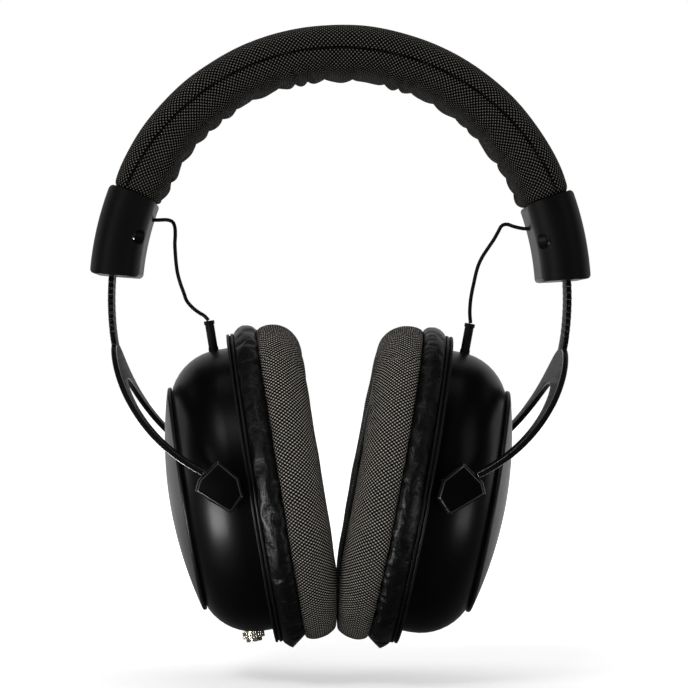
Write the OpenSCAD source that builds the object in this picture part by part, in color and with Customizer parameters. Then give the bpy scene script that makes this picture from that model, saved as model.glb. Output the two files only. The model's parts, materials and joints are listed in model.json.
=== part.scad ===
// Aviation headset: padded headband, curved sliders with serrated yokes, tilting oval ear cups.
// Millimetres, +Z up, +X to the wearer's side that shows on the right, front towards -Y.
// The origin is the centre of the head, on the line between the two ear cup pivots.
// Everything on the right is built once and mirrored for the left; only the jack is on the left alone.

/* [Headband] */
// Radius of the outside of the headband pad
band_r = 77.4; // [74:0.1:82]
// Thickness of the headband pad at its middle
band_thick = 16.5; // [15:0.5:19]
// Depth of the headband pad, front to back
band_depth = 38; // [34:0.5:44]
// Height of the headband's centre of curvature above the pivots
band_z = 69.1; // [66:0.1:74]
// Thickness of the fabric cover
cover_thick = 1; // [0.8:0.1:1.4]
// Radius of the seam's arc along the front and back
seam_r = 74.5; // [72:0.5:80]
// How far the seam lies below the top of the pad at the crown
seam_drop = 8.4; // [7:0.1:12]
// Thickness of the spring steel strip in the headband
spring_thick = 0.8; // [0.6:0.1:1.2]
// Width of the spring steel strip
spring_width = 20; // [16:0.5:22]
// Depth of the spring strip below the top of the pad
spring_depth = 3.2; // [2.8:0.1:3.6]
// Diameter of the cable that crosses over inside the headband
crossover_d = 1.8; // [1.4:0.1:2.4]

/* [Slider] */
// How far the slide's centre of curvature lies below the headband's
slide_drop = 10.1; // [9:0.1:11.5]
// Radius of the yoke stem's arc, at the middle of its thickness
stem_r = 94.5; // [92:0.5:98]
// Width of the stem, front to back
stem_width = 12; // [10:0.5:14]
// Thickness of the yoke's steel
yoke_thick = 1.8; // [1.4:0.1:2.2]
// Clearance round the stem in its housing
stem_clear = 0.3; // [0.2:0.05:0.4]
// Slide travel, in degrees of the stem's arc
slide_travel = 10.5; // [8:0.25:11]
// Stem left in the housing when fully drawn out, in degrees of its arc
stem_grip = 9.5; // [8:0.25:11]
// Pitch of the stem's teeth, in degrees of its arc
tooth_pitch = 1.25; // [1:0.05:1.6]
// Radius of the notch between two teeth
tooth_r = 0.6; // [0.4:0.05:0.8]
// Angle of the housing's lower end above the slide centre
housing_low = 4; // [3.5:0.1:4.5]
// Length of the housing, in degrees of the stem's arc
housing_span = 16.6; // [16:0.1:19]
// Thickness of the housing across its two shells
housing_thick = 15.9; // [15:0.1:17]
// Depth of the housing, front to back
housing_depth = 38; // [36:0.5:42]
// Wall of the housing shells
housing_wall = 2; // [1.6:0.1:2.4]
// Part of the housing's thickness that the outer shell takes
outer_share = 6.5; // [6.2:0.1:7]
// Distance of each housing screw from the middle
screw_y = 15.6; // [14:0.1:16]
// Radius of the screw recess
recess_r = 2.4; // [2.3:0.05:2.6]

/* [Yoke] */
// Distance of each pivot from the middle of the head
pivot_x = 36.9; // [36.5:0.1:39]
// How far the fork's arms stand out past the caps, at the front and back
arm_proud = 0.2; // [0.1:0.1:1]
// How far the fork's arms lie inside the caps' inner faces
arm_inset = 0.3; // [0.2:0.1:0.8]
// Height of the shoulder where the strap widens into the fork
shoulder_z = 43.8; // [43:0.2:45]
// Height of the top of the fork's opening
fork_apex_z = 32.5; // [31:0.5:34]
// Distance of the cap's inner face from the middle
cap_inner = 38.3; // [38.25:0.05:38.6]
// Thickness of a pivot cap
cap_thick = 8; // [7.5:0.1:9]
// Bevel round the outside of a cap
cap_bevel = 0.8; // [0.4:0.1:1.2]
// Radius of a pivot pin
pin_r = 2; // [1.6:0.1:2.4]
// Running clearance of a pivot pin in its bush
pin_clear = 0.05; // [0.03:0.01:0.08]
// Wall of a pivot bush
bush_wall = 1.15; // [0.9:0.05:1.4]

/* [Ear cup] */
// Lean of the cup, bottom towards the head
lean = 9.8; // [9.6:0.1:10]
// Distance of the cup's centre below its pivots
cup_drop = 3.9; // [3.5:0.1:4.1]
// Half the length of the baffle's flange, the widest rigid part of the cup
flange_half_l = 50.2; // [48:0.2:50.6]
// Half the width of the flange, front to back
flange_half_w = 42; // [41.5:0.1:42.3]
// Radius of the flange's two ends
flange_end_r = 36; // [34:0.5:38]
// Distance of the flange's outer face inboard of the pivots
flange_u = 8.4; // [8.2:0.1:9]
// Thickness of the flange
flange_thick = 2.2; // [1.8:0.1:2.6]
// Step in from the flange's edge to the shell
shell_inset = 4.35; // [4.3:0.05:4.8]
// Radius of the shell's rounded shoulder
shell_round = 17.8; // [17:0.1:18.5]
// Distance of the shell's outer end outboard of the pivots
shell_end = 11.2; // [10.8:0.1:11.6]
// Wall of the shell
shell_wall = 2.2; // [1.8:0.1:2.6]
// Width of the shadow groove between the shell and the cover plate
plate_groove = 0.6; // [0.4:0.1:0.8]
// Depth of that groove
groove_depth = 1.2; // [0.8:0.1:1.6]
// Thickness of the cover plate's rim
plate_rim = 1.2; // [0.8:0.1:1.6]
// Rise of the cover plate's dome
plate_rise = 5.1; // [4:0.1:6]
// Radius of the boss for a pivot bush
boss_r = 5.6; // [5:0.1:6.2]
// Clearance between a cup boss and a cap
boss_clear = 0.3; // [0.25:0.05:0.4]

/* [Ear pad] */
// Height of the leather skirt
skirt_h = 7.6; // [7:0.1:8]
// How far the skirt bulges past the flange's edge
skirt_bulge = 2.1; // [1.5:0.1:2.2]
// Height of the fabric cushion
cushion_h = 10.8; // [10:0.1:10.8]
// Radius of the cushion's outer edge
cushion_round = 8; // [7:0.25:8.5]
// How far the cushion bulges past the flange's edge
cushion_bulge = 1; // [0.6:0.1:1.2]
// Width of the pad's ring
pad_width = 20.5; // [18:0.25:22]
// Depth of the pinch at the seam between skirt and cushion
seam_pinch = 0.9; // [0.5:0.1:1.2]

/* [Driver] */
// Radius of the driver's frame
driver_r = 20.5; // [19:0.25:21]
// Depth of the driver's frame behind the baffle
driver_depth = 5; // [4.5:0.1:6]
// Radius of the magnet
magnet_r = 9; // [7:0.25:11]
// Height of the magnet
magnet_h = 5; // [4:0.1:6]
// Thickness of the acoustic cloth over the driver
cloth_thick = 0.6; // [0.4:0.1:0.8]

/* [Cables and jack] */
// Diameter of the thin cable from each housing to its cup
cable_d = 1.2; // [1:0.05:1.3]
// Diameter of the strain relief on the cup
relief_d = 3.2; // [2.8:0.1:3.6]
// Length of the strain relief
relief_l = 9.8; // [9:0.1:10.5]
// Distance of the strain relief inboard of the pivots
relief_u = 3.6; // [3.2:0.1:4]
// Bore of the jack socket
jack_bore_d = 3.55; // [3.55:0.01:3.6]
// Depth of the jack socket's bore
jack_depth = 14; // [12:0.5:15]
// Outside diameter of the socket's barrel
jack_barrel_d = 5.2; // [5:0.1:5.8]
// How far the barrel stands out of the nut
jack_stand = 1.2; // [0.8:0.1:1.6]
// Outside diameter of the knurled nut
nut_d = 7.2; // [6.8:0.1:8]
// Height of the knurled nut
nut_h = 2.2; // [1.8:0.1:2.8]
// Distance of the jack inboard of the pivots
jack_u = 1.6; // [1.2:0.1:2.4]

/* [Hidden] */
$fn = 96;
// Clearance between two still pieces, one in the other
seat_clear = 0.02;
// Steps in the rounded corner of a swept outline
arc_steps = 8;
// Reach of the blocks that cut a shape back, longer than any piece
far = 120;

// Gap between the stem and the spring strip at the slide's own height
strip_gap = 0.7;
// How far the shells' parting lies outside the middle of the stem
split_offset = 0.1;
// Height of the rounded shoulder of the cup shell
shoulder_rise = 15.8;
// Rounding of the housing's two ends
housing_round = 1.8;
// End walls of the housing, in degrees of the stem's arc
end_wall = 1.3;

// Places that follow from the sizes above
band_mid_r = band_r - band_thick / 2;
spring_r = band_r - spring_depth;
slide_x = spring_r - strip_gap - stem_r;
slide_z = band_z - slide_drop;
housing_high = housing_low + housing_span;
housing_out_r = stem_r + split_offset + outer_share;
housing_in_r = housing_out_r - housing_thick;
housing_mid_r = housing_out_r - housing_thick / 2;
split_r = housing_out_r - outer_share;
screw_angle = housing_low + housing_span / 2;
stem_top = housing_low + stem_grip;
stem_low = housing_low - slide_travel - 0.5;
cap_outer = cap_inner + cap_thick;
// Radii of the yoke fork's outside and of its opening, seen from the side
fork_r = cap_outer + arm_proud;
fork_open_r = cap_inner + arm_inset;
crossover_r = band_r - band_thick + 3.6;

// The oval of the cup: two end arcs on the long axis and two side arcs, tangent where they meet
oval_c = flange_half_l - flange_end_r;
oval_w = flange_half_w - flange_end_r;
oval_d = (oval_c * oval_c - oval_w * oval_w) / (2 * oval_w);
oval_hyp = sqrt(oval_c * oval_c + oval_d * oval_d);
oval_side = atan2(oval_c, oval_d);

shell_r0 = flange_end_r - shell_inset;
shoulder_u = shell_end - shoulder_rise;
shell_end_angle = asin((shell_end - shoulder_u) / shell_round);
plate_inset = shell_inset + shell_round * (1 - cos(shell_end_angle));
boss_face = cap_inner - boss_clear;
// The shell's closed end lies this far below the rim that carries the cover plate
shell_dish = 0.2;
pad_back = -flange_u - flange_thick;
seam_u = pad_back - skirt_h;
pad_face = seam_u - cushion_h;

function polar(r, a) = [slide_x + r * cos(a), slide_z + r * sin(a)];
function arc(x, y, r, a0, a1, n) =
  [for (i = [0:n]) let(a = a0 + (a1 - a0) * i / n) [x + r * cos(a), y + r * sin(a)]];

// Cable routes, as right-hand points: from the housing to the point where the two halves meet, and on to the cup
left_upper_route = [
  [61.4, 0, 83.7], [58.7, 0, 83.7], [56.1, -0.2, 83.8], [54.2, -0.5, 83.2], [53.4, -0.8, 81.5], [53.2, -1.2, 79],
  [53.3, -1.5, 76], [53.1, -1.8, 73], [52.8, -2, 69.8], [52.3, -2.1, 66.6], [51.4, -2, 63.4], [50.2, -1.8, 60.2]
];
left_lower_route = [
  [50.2, -1.8, 60.2], [49.3, -1.65, 57.8], [47.4, -1.2, 55.6], [45.3, -0.7, 54], [43.6, -0.3, 53], [42.3, 0, 51.6]
];
right_upper_route = [
  [61.9, 0, 82.3], [59, 0, 82.3], [56, -0.2, 82.9], [53.8, -0.4, 83.6], [52, -0.7, 83.1], [50.8, -1, 81],
  [49.4, -1.3, 78.5], [47.6, -1.6, 75.8], [45.8, -1.8, 73], [44.5, -1.9, 70.2], [43.7, -2, 67.4], [43.1, -1.8, 64.4]
];
right_lower_route = [
  [43.1, -1.8, 64.4], [42.5, -1.6, 61.4], [42.1, -1.1, 58.2], [42, -0.5, 54.8], [42.3, 0, 51.6]
];

// Feet of the spring strip and of the crossover cable, as angles about the headband's centre
spring_foot = 7;
crossover_foot = 16;
// Screws of the housings and baffles: radius of thread and head, height of head
screw_r = 0.9;
screw_head_r = 2.1;
screw_head_h = 1.5;
screw_boss_r = 2.4;
screw_seat = housing_in_r + 4.6;
screw_tip = split_r + 3.6;
// Pivot bush and boss
bush_r = pin_r + pin_clear + bush_wall;
boss_in = boss_face - 8;
pin_tip = boss_in + 1.5;
pin_depth = 5;
// Posts in the cup shell for the baffle's screws
post_r = 2.4;
post_line = shell_r0 - shell_wall - 1;
post_end = 8;
// Driver: wall of its frame, the ledge in it that carries the diaphragm, and the diaphragm's edge, roll and dome
driver_wall = 1.5;
ledge_z = pad_back + 1.4;
film_thick = 0.3;
film_edge = 2;
film_roll = 5;
film_roll_h = 0.5;
film_dome_r = driver_r - driver_wall - film_edge - film_roll - 0.5;
film_dome_h = 1.4;
// Seats on the top and bottom of the cup shell, along the cup's length from the pivots
relief_plug_r = 1.1;
relief_seat = flange_half_l - shell_inset - cup_drop - 0.2;
jack_seat = -(flange_half_l - shell_inset + cup_drop - 0.45);

// --- Helpers ---

// Turns an outline drawn in X and Z to stand at x, z, with its thickness along Y
module about_y(x, z) { translate([x, 0, z]) rotate([90, 0, 0]) children(); }
module both_sides_y() {
  children();
  mirror([0, 1, 0]) children();
}
module left() { mirror([1, 0, 0]) children(); }
module arc_bar(r, thick, width, a0, a1) {
  rotate(a0) rotate_extrude(angle = a1 - a0) translate([r, 0]) square([thick, width], center = true);
}
module slide_arc(r, thick, width, a0, a1) { about_y(slide_x, slide_z) arc_bar(r, thick, width, a0, a1); }
module x_cylinder(r, z) { translate([0, 0, z]) rotate([0, 90, 0]) cylinder(h = far, r = r); }

// The cup's own frame: X outwards, Z up along its length, the pivots at its origin
module cup() { translate([pivot_x, 0, 0]) rotate([0, lean, 0]) children(); }
// The frame of the cup's oval: X to the back, Y up along its length, Z outwards
module oval_frame() { cup() translate([0, 0, -cup_drop]) rotate([90, 0, 90]) children(); }
// An oval whose end arcs have radius r
module oval(r) {
  for (s = [-1, 1]) translate([0, s * oval_c]) circle(r);
  intersection() {
    translate([-oval_d, 0]) circle(r + oval_hyp);
    translate([oval_d, 0]) circle(r + oval_hyp);
    square([4 * r + oval_w, 2 * (oval_c + r * sin(oval_side))], center = true);
  }
}
module oval_plate(r, z, h) { translate([0, 0, z]) linear_extrude(h) oval(r); }
// Carries an outline round the oval whose end arcs have radius r
module oval_sweep(r) {
  for (s = [-1, 1]) {
    translate([0, s * oval_c, 0]) rotate(90 * s - 90 + oval_side)
      rotate_extrude(angle = 180 - 2 * oval_side) translate([r, 0]) children();
    translate([-s * oval_d, 0, 0]) rotate(90 - 90 * s - oval_side)
      rotate_extrude(angle = 2 * oval_side) translate([r + oval_hyp, 0]) children();
  }
}

// A round tube through points, with flat ends and eight sides
module tube(route, r) {
  sides = 8;
  last = len(route) - 1;
  function ahead(i) = route[min(i + 1, last)] - route[max(i - 1, 0)];
  function unit(v) = v / norm(v);
  function ring(i) = let(t = unit(ahead(i)), n = unit(cross(t, [0, 1, 0])), b = cross(n, t))
    [for (k = [0:sides - 1]) route[i] + r * (cos(360 * k / sides) * n + sin(360 * k / sides) * b)];
  points = [for (i = [0:last]) each ring(i)];
  walls = [for (i = [0:last - 1], k = [0:sides - 1])
    let(a = i * sides + k, b = i * sides + (k + 1) % sides)
    each [[a, b, b + sides], [a, b + sides, a + sides]]];
  ends = [[for (k = [sides - 1:-1:0]) k], [for (k = [0:sides - 1]) last * sides + k]];
  polyhedron(points, concat(walls, ends));
}

// --- Headband ---

// The pad's section: a rounded block, crowned above and below
function swell(v, power) = sign(v) * pow(abs(v), power);
module band_section(inset) {
  steps = 36;
  polygon([for (i = [0:steps - 1]) let(a = 360 * (i + 0.5) / steps) [
    band_mid_r + (band_thick / 2 - inset) * swell(cos(a), 0.62),
    (band_depth / 2 - inset) * swell(sin(a), 0.52)
  ]]);
}
module band_solid(inset) {
  difference() {
    about_y(0, band_z) rotate(8) rotate_extrude(angle = 164) band_section(inset);
    housing_side_cut();
    left() housing_side_cut();
  }
}
// Everything below the top of the right housing
module housing_side_cut() {
  about_y(slide_x, slide_z) rotate(housing_high) translate([far / 2, -far, -far / 2]) cube([far, far, far]);
}
module seam_cylinder() {
  about_y(0, band_z + band_r - seam_drop - seam_r) cylinder(h = far, r = seam_r, center = true);
}
module headband_cover_top() {
  color("dimgray") difference() {
    band_solid(0);
    band_solid(cover_thick);
    seam_cylinder();
  }
}
module headband_cover_lower() {
  color("gray") intersection() {
    difference() {
      band_solid(0);
      band_solid(cover_thick);
    }
    seam_cylinder();
  }
}
module stem_pocket() {
  slide_arc(stem_r, yoke_thick + 2 * stem_clear, stem_width + 2 * stem_clear,
    housing_high - 1, stem_top + slide_travel + 0.5);
}
module headband_foam() {
  color("darkkhaki") difference() {
    band_solid(cover_thick);
    about_y(0, band_z) arc_bar(spring_r, spring_thick, spring_width, 0, 180);
    about_y(0, band_z) rotate_extrude(angle = 180) translate([crossover_r, 0]) circle(crossover_d / 2);
    stem_pocket();
    left() stem_pocket();
  }
}
module headband_spring() {
  color("silver") about_y(0, band_z) arc_bar(spring_r, spring_thick, spring_width, spring_foot, 180 - spring_foot);
}
module crossover_cable() {
  color("black") about_y(0, band_z) rotate(crossover_foot)
    rotate_extrude(angle = 180 - 2 * crossover_foot) translate([crossover_r, 0]) circle(crossover_d / 2);
}

// --- Slider housing ---

// Section of the housing, round at the front and back
module housing_section(inset) {
  r = housing_thick / 2;
  y = housing_depth / 2 - r;
  polygon(concat(arc(housing_mid_r, y, r - inset, 0, 180, 24), arc(housing_mid_r, -y, r - inset, 180, 360, 24)));
}
// Outline of the housing from the front: it trims the corners of the ends and passes the sides
module housing_outline() {
  f = housing_round;
  fa = f / housing_mid_r * 180 / PI;
  pass = 3;
  polygon(concat(
    [polar(housing_in_r - pass, housing_low + fa)],
    [for (t = [0:15:90]) polar(housing_in_r + f * (1 - cos(t)), housing_low + fa * (1 - sin(t)))],
    [for (t = [0:15:90]) polar(housing_out_r - f * (1 - sin(t)), housing_low + fa * (1 - cos(t)))],
    [polar(housing_out_r + pass, housing_low + fa), polar(housing_out_r + pass, housing_high - fa)],
    [for (t = [0:15:90]) polar(housing_out_r - f * (1 - cos(t)), housing_high - fa * (1 - sin(t)))],
    [for (t = [0:15:90]) polar(housing_in_r + f * (1 - sin(t)), housing_high - fa * (1 - cos(t)))],
    [polar(housing_in_r - pass, housing_high - fa)]
  ));
}
module housing_block(inset, ends) {
  about_y(slide_x, slide_z) rotate(housing_low + ends)
    rotate_extrude(angle = housing_span - 2 * ends) housing_section(inset);
}
module housing_solid() {
  intersection() {
    housing_block(0, 0);
    about_y(0, 0) linear_extrude(far, center = true) housing_outline();
  }
}
module housing_split() { about_y(slide_x, slide_z) cylinder(h = far, r = split_r, center = true); }
// The paths through the housing: stem, spring strip and crossover cable
module housing_paths() {
  slide_arc(stem_r, yoke_thick + 2 * stem_clear, stem_width + 2 * stem_clear, housing_low - 1, housing_high + 1);
  about_y(0, band_z) arc_bar(spring_r, spring_thick + stem_clear, spring_width + stem_clear, spring_foot, 30);
  about_y(0, band_z) rotate(crossover_foot) rotate_extrude(angle = 15)
    translate([crossover_r, 0]) circle(crossover_d / 2 + stem_clear);
}
// Puts children at each housing screw, with Z along the screw and measured from the slide's centre
module at_housing_screws() {
  for (s = [-1, 1]) about_y(slide_x, slide_z) rotate(screw_angle) translate([0, 0, s * screw_y])
    rotate([0, 90, 0]) children();
}
module rod(r, z0, z1) { translate([0, 0, z0]) cylinder(h = z1 - z0, r = r); }
module housing_outer() {
  color("#2b2b2d") difference() {
    intersection() {
      union() {
        difference() {
          housing_solid();
          housing_block(housing_wall, end_wall);
        }
        at_housing_screws() rod(screw_boss_r, split_r - 1, housing_out_r - housing_wall / 2);
      }
      housing_solid();
    }
    housing_split();
    housing_paths();
    at_housing_screws() rod(screw_r + seat_clear, split_r - 2, screw_tip);
  }
}
module housing_inner(exit_z) {
  color("#2b2b2d") difference() {
    intersection() {
      union() {
        difference() {
          housing_solid();
          housing_block(housing_wall, end_wall);
        }
        at_housing_screws() rod(recess_r + 1, housing_in_r, split_r);
      }
      housing_solid();
      housing_split();
    }
    housing_paths();
    at_housing_screws() rod(recess_r, housing_in_r - 3, screw_seat);
    at_housing_screws() rod(screw_r + 0.2, screw_seat - 1, split_r + 1);
    translate([0, 0, exit_z]) rotate([0, 90, 0]) cylinder(h = slide_x + housing_in_r + housing_wall, r = cable_d / 2 + 0.25);
  }
}
module housing_screws() {
  color("silver") at_housing_screws() difference() {
    union() {
      rod(screw_head_r, screw_seat - screw_head_h, screw_seat);
      rod(screw_r, screw_seat - 0.5, screw_tip - 0.2);
    }
    for (a = [0, 90]) rotate(a) translate([-0.3, -1.3, screw_seat - screw_head_h - 1]) cube([0.6, 2.6, 1.7]);
  }
}
// A bent leaf whose crest bears on the stem
module detent_spring() {
  foot = housing_in_r + housing_wall;
  crest = stem_r - yoke_thick / 2 - 0.15;
  leaf = 0.45;
  color("silver") about_y(0, 0) linear_extrude(5, center = true) polygon([
    polar(foot, screw_angle - 4.4), polar(crest, screw_angle - 0.5),
    polar(crest, screw_angle + 0.5), polar(foot, screw_angle + 4.4),
    polar(foot, screw_angle + 3.9), polar(crest - leaf, screw_angle + 0.3),
    polar(crest - leaf, screw_angle - 0.3), polar(foot, screw_angle - 3.9)
  ]);
}

// --- Yoke ---

// The fork's arc leaves the stem's arc without a kink and ends at its seat in the cap
fork_start = polar(stem_r + yoke_thick / 2, stem_low);
fork_seat = [pivot_x + 8.1, 5];
fork_in = -[cos(stem_low), sin(stem_low)];
fork_run = fork_seat - fork_start;
fork_bend_r = (fork_run * fork_run) / (2 * (fork_run * fork_in));
fork_centre = fork_start + fork_in * fork_bend_r;
fork_end = atan2(fork_seat[1] - fork_centre[1], fork_seat[0] - fork_centre[0]) - 3 / fork_bend_r * 180 / PI;

module fork_sheet(width, a0, play) {
  about_y(fork_centre[0], fork_centre[1])
    arc_bar(fork_bend_r - yoke_thick / 2, yoke_thick + 2 * play, width, a0, stem_low);
}
module fork_shape() {
  difference() {
    x_cylinder(fork_r, shoulder_z - fork_r);
    x_cylinder(fork_open_r, fork_apex_z - fork_open_r);
  }
}
// The steel from the side: the stem's arc, then the fork's
module yoke_profile() {
  stem_out = stem_r + yoke_thick / 2;
  stem_in = stem_r - yoke_thick / 2;
  stem_steps = 18;
  fork_steps = 28;
  polygon(concat(
    arc(slide_x, slide_z, stem_out, stem_top, stem_low, stem_steps),
    [for (i = [1:fork_steps]) fork_point(fork_bend_r, i / fork_steps)],
    [for (i = [fork_steps:-1:1]) fork_point(fork_bend_r - yoke_thick, i / fork_steps)],
    arc(slide_x, slide_z, stem_in, stem_low, stem_top, stem_steps)
  ));
}
function fork_point(r, t) =
  let(a = stem_low + (fork_end - stem_low) * t) fork_centre + r * [cos(a), sin(a)];
module yoke() {
  color("#141414") difference() {
    intersection() {
      about_y(0, 0) linear_extrude(2 * fork_r + 2, center = true) yoke_profile();
      union() {
        fork_shape();
        translate([0, -stem_width / 2, shoulder_z - 3]) cube([far, stem_width, far]);
      }
    }
    for (a = [stem_low + 0.6:tooth_pitch:stem_top - 0.6], s = [-1, 1])
      about_y(slide_x, slide_z) rotate(a) translate([stem_r - yoke_thick, 0, s * stem_width / 2])
        rotate([0, 90, 0]) cylinder(h = 2 * yoke_thick, r = tooth_r);
  }
}
// Outline of a cap about its pivot: a five-sided shield that points down and inwards
cap_points = [[0.8, 8.3], [6.7, 2.4], [7.6, -1.1], [-3, -7.6], [-4, -7.4], [-7.2, -2.6], [-5.7, 3]];
module cap_slice(grow, z, h) {
  translate([0, 0, z]) linear_extrude(h) polygon(cap_points * grow);
}
module pivot_caps() {
  color("#1c1c1c") both_sides_y() difference() {
    about_y(pivot_x, 0) {
      cap_slice(1, cap_inner, cap_thick - cap_bevel);
      hull() {
        cap_slice(1, cap_outer - cap_bevel - 0.01, 0.01);
        cap_slice(1 - cap_bevel / 8, cap_outer - 0.01, 0.01);
      }
    }
    fork_sheet(2 * fork_r, fork_end, seat_clear);
    about_y(pivot_x, 0) cylinder(h = cap_inner + pin_depth, r = pin_r + seat_clear);
  }
}
module pivot_pins() {
  color("silver") both_sides_y() about_y(pivot_x, 0) rod(pin_r, pin_tip, cap_inner + pin_depth);
}

// --- Ear cup ---

function shell_line(r, z0, z1) = arc(-shell_round, shoulder_u, r, asin((z0 - shoulder_u) / r), asin((z1 - shoulder_u) / r), arc_steps);
module cup_shell(side) {
  top_x = -shell_round * (1 - cos(shell_end_angle));
  overlap = 5;
  color("#1a1a1a") difference() {
    union() {
      oval_frame() oval_sweep(shell_r0) polygon(concat(
        [[0, -flange_u]],
        shell_line(shell_round, shoulder_u, shell_end),
        [[top_x - overlap - 1, shell_end], [top_x - overlap - 1, shell_end - shell_wall]],
        shell_line(shell_round - shell_wall, shell_end - shell_wall, shoulder_u),
        [[-shell_wall, -flange_u]]
      ));
      oval_frame() oval_plate(shell_r0 + top_x - overlap, shell_end - shell_wall - shell_dish, shell_wall);
      both_sides_y() cup() rotate([90, 0, 0]) rod(boss_r, boss_in, boss_face);
      oval_frame() at_baffle_screws() rod(post_r, -flange_u, post_end - flange_u);
    }
    both_sides_y() cup() rotate([90, 0, 0]) rod(bush_r + seat_clear, boss_in - 1, cap_inner);
    oval_frame() at_baffle_screws() rod(screw_r + seat_clear, -flange_u - 1, post_end - flange_u - 1);
    at_relief() rod(relief_d / 2 + 0.3, 0, far / 10);
    at_relief() rod(relief_plug_r + seat_clear, -far / 10, 1);
    if (side == "left") {
      at_jack() rod(nut_d / 2 + 0.5, 0, far / 10);
      at_jack() rod(jack_barrel_d / 2 + seat_clear, -far / 10, 1);
    }
  }
}
module at_baffle_screws() {
  for (x = [-1, 1], y = [-1, 1])
    translate([x * post_line * cos(60), y * (oval_c + post_line * sin(60)), 0]) children();
}
module at_relief() { cup() translate([-relief_u, 0, relief_seat]) children(); }
module at_jack() { cup() translate([-jack_u, 0, jack_seat]) mirror([0, 0, 1]) children(); }
// Domed plate on the outside of the cup, on a step that leaves a shadow groove round it
module cover_plate() {
  rim_z = shell_end + plate_groove;
  r = flange_end_r - plate_inset;
  color("#3c3c3e") oval_frame() union() {
    oval_plate(r - groove_depth, shell_end, plate_groove);
    oval_plate(r, rim_z, plate_rim);
    hull() for (t = [1, 0.93, 0.82, 0.66, 0.45, 0.2])
      translate([0, 0, rim_z + plate_rim - 0.01 + plate_rise * (1 - t * t)]) linear_extrude(0.01)
        scale(t) oval(r, $fn = 48);
  }
}
module baffle() {
  color("#1f1f1f") oval_frame() difference() {
    oval_plate(flange_end_r, pad_back, flange_thick);
    oval_sweep(flange_end_r) polygon([[0.1, pad_back + 0.9], [0.1, pad_back + 1.4], [-0.6, pad_back + 1.4], [-0.6, pad_back + 0.9]]);
    translate([0, 0, pad_back - 1]) cylinder(h = flange_thick + 2, r = driver_r + seat_clear);
    at_baffle_screws() rod(screw_r + 0.2, pad_back - 1, -flange_u + 1);
    at_baffle_screws() rod(screw_head_r + 0.1, pad_back - 1, pad_back + 1.4);
  }
}
module baffle_screws() {
  color("silver") oval_frame() at_baffle_screws() difference() {
    union() {
      rod(screw_head_r, pad_back + 0.2, pad_back + 1.4);
      rod(screw_r, pad_back + 1, post_end - flange_u - 1.3);
    }
    for (a = [0, 90]) rotate(a) translate([-0.3, -1.3, pad_back - 1]) cube([0.6, 2.6, 1.8]);
  }
}
module pivot_bushes() {
  color("peru") both_sides_y() cup() rotate([90, 0, 0]) difference() {
    rod(bush_r, boss_in + 1, boss_face);
    rod(pin_r + pin_clear, boss_in, cap_inner);
  }
}
// The driver: a round frame with its magnet behind and its diaphragm in front
module driver_frame() {
  back = driver_depth - flange_u;
  lip = 2.5;
  color("#303030") oval_frame() difference() {
    union() {
      rod(driver_r, pad_back + 0.2, back);
      rod(driver_r + lip, -flange_u, -flange_u + 1.2);
    }
    rod(driver_r - driver_wall, pad_back - 1, ledge_z);
    rod(driver_r - 2 * driver_wall, pad_back, back - 1.2);
    rod(magnet_r + seat_clear, pad_back, back + 1);
  }
}
module driver_magnet() { color("silver") oval_frame() rod(magnet_r, driver_depth - flange_u - 1.2, driver_depth - flange_u - 1.2 + magnet_h); }
module driver_diaphragm() {
  rim = driver_r - driver_wall - 0.05;
  line = [
    [rim, 0], [rim - film_edge, 0], [rim - film_edge - 0.3 * film_roll, film_roll_h],
    [rim - film_edge - 0.7 * film_roll, film_roll_h], [rim - film_edge - film_roll, 0],
    [film_dome_r, 0], [0.6 * film_dome_r, 0.65 * film_dome_h], [0, film_dome_h]
  ];
  color("lightgray") oval_frame() translate([0, 0, ledge_z - film_thick]) rotate_extrude()
    polygon(concat(line, [for (i = [len(line) - 1:-1:0]) line[i] + [0, film_thick]]));
}
module driver_cloth() {
  color("black") oval_frame() oval_plate(flange_end_r - pad_width - 0.3, pad_back - cloth_thick, cloth_thick);
}

// --- Ear pad ---

// Ring inside a pad that joins the four arcs of its oval
module pad_core(z, h) {
  difference() {
    oval_plate(flange_end_r - 4, z, h);
    oval_plate(flange_end_r - pad_width + 3, z - 1, h + 2);
  }
}
module pad_skirt() {
  drawn_in = 0.6;
  color("#181818") oval_frame() union() {
    oval_sweep(flange_end_r) polygon(concat(
      [[-pad_width, pad_back]],
      [for (i = [0:arc_steps]) let(t = i / arc_steps) [
        t * (cushion_bulge - seam_pinch + drawn_in) - drawn_in + (skirt_bulge + 0.2) * sin(180 * t),
        pad_back - t * skirt_h
      ]],
      [[-pad_width, seam_u]]
    ));
    pad_core(seam_u + 1, skirt_h - 2);
  }
}
module pad_cushion() {
  inner_round = 6;
  color("gray") oval_frame() union() {
    oval_sweep(flange_end_r) polygon(concat(
      [[-pad_width, seam_u], [cushion_bulge - seam_pinch, seam_u], [cushion_bulge - seam_pinch / 3, seam_u - 1]],
      arc(cushion_bulge - cushion_round, pad_face + cushion_round, cushion_round, 0, -90, arc_steps),
      arc(inner_round - pad_width, pad_face + inner_round + 0.4, inner_round, -90, -180, arc_steps)
    ));
    pad_core(pad_face + 3, cushion_h - 5);
  }
}

// --- Cables and jack ---

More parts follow.
